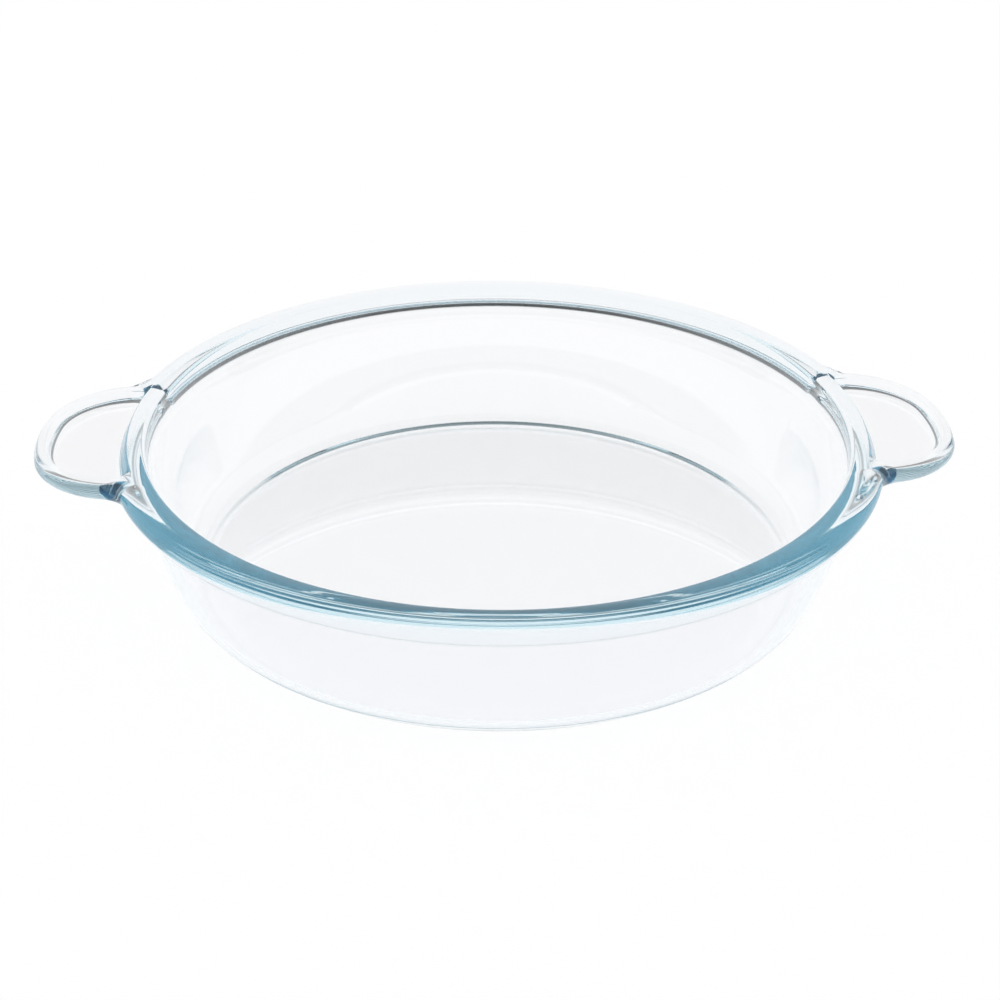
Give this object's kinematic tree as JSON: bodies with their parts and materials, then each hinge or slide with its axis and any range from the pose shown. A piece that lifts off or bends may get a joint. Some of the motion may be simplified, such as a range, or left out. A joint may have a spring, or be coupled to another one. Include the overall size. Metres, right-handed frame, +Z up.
{
  "type": "round glass baking dish",
  "caption": "Round clear pressed-glass baking dish with curved sides, a thick rolled rim and a recessed tab handle each side, for oven baking and serving.",
  "frame": {"origin": "middle of the base, on the plane that the dish stands on", "axes": "+Z up out of the bowl, +X along the two handles, +Y towards the back of the picture"},
  "size_m": [0.314, 0.262, 0.0538],
  "materials": {
    "clear_glass": "fire-polished clear glass with a blue-green edge tint"
  },
  "bodies": {
    "root": {"base": "clear_glass", "side_wall": "clear_glass", "rim": "clear_glass", "left_handle": "clear_glass", "right_handle": "clear_glass"}
  },
  "joints": []
}
